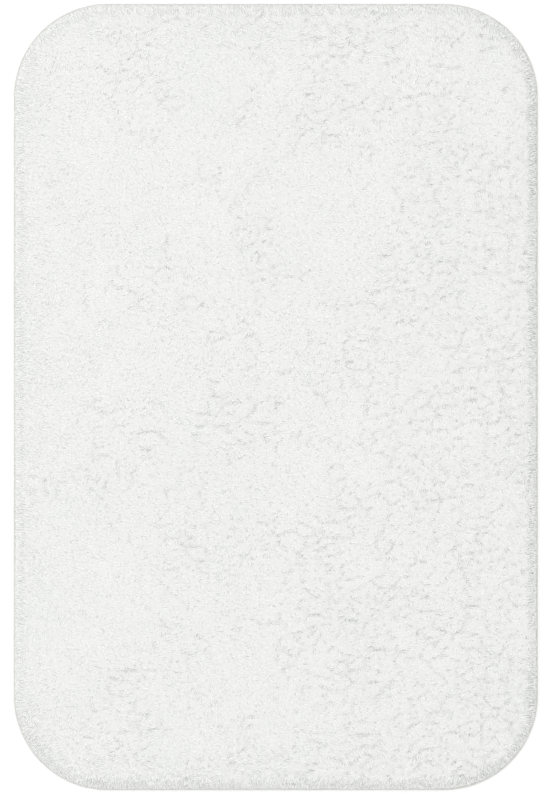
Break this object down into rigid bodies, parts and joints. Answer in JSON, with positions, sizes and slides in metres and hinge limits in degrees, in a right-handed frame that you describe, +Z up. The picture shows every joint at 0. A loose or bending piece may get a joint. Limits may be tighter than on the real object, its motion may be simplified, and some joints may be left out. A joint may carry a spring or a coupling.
{
  "type": "bath mat",
  "caption": "Tufted bath mat with rounded corners, deep soft white pile, a taped and stitched edge, and a studded non-slip rubber back.",
  "frame": {"origin": "centre of the mat's plan, on the surface that it lies on", "axes": "+Z up through the pile, +Y along the mat's long side, +X along its short side"},
  "size_m": [0.5, 0.75, 0.02],
  "materials": {
    "pile_yarn": "matte",
    "tufted_cloth": "matte",
    "latex": "matte",
    "backing_cloth": "matte",
    "grip_rubber": "matte",
    "binding_tape": "matte",
    "hem_thread": "satin",
    "label_satin": "satin",
    "label_stitches": "satin"
  },
  "bodies": {
    "root": {"pile": "pile_yarn", "primary_backing": "tufted_cloth", "latex_layer": "latex", "secondary_backing": "backing_cloth", "grip_coating": "grip_rubber", "edge_binding": "binding_tape", "needle_thread": "hem_thread", "bobbin_thread": "hem_thread", "care_label": "label_satin", "label_thread": "label_stitches"}
  },
  "joints": []
}
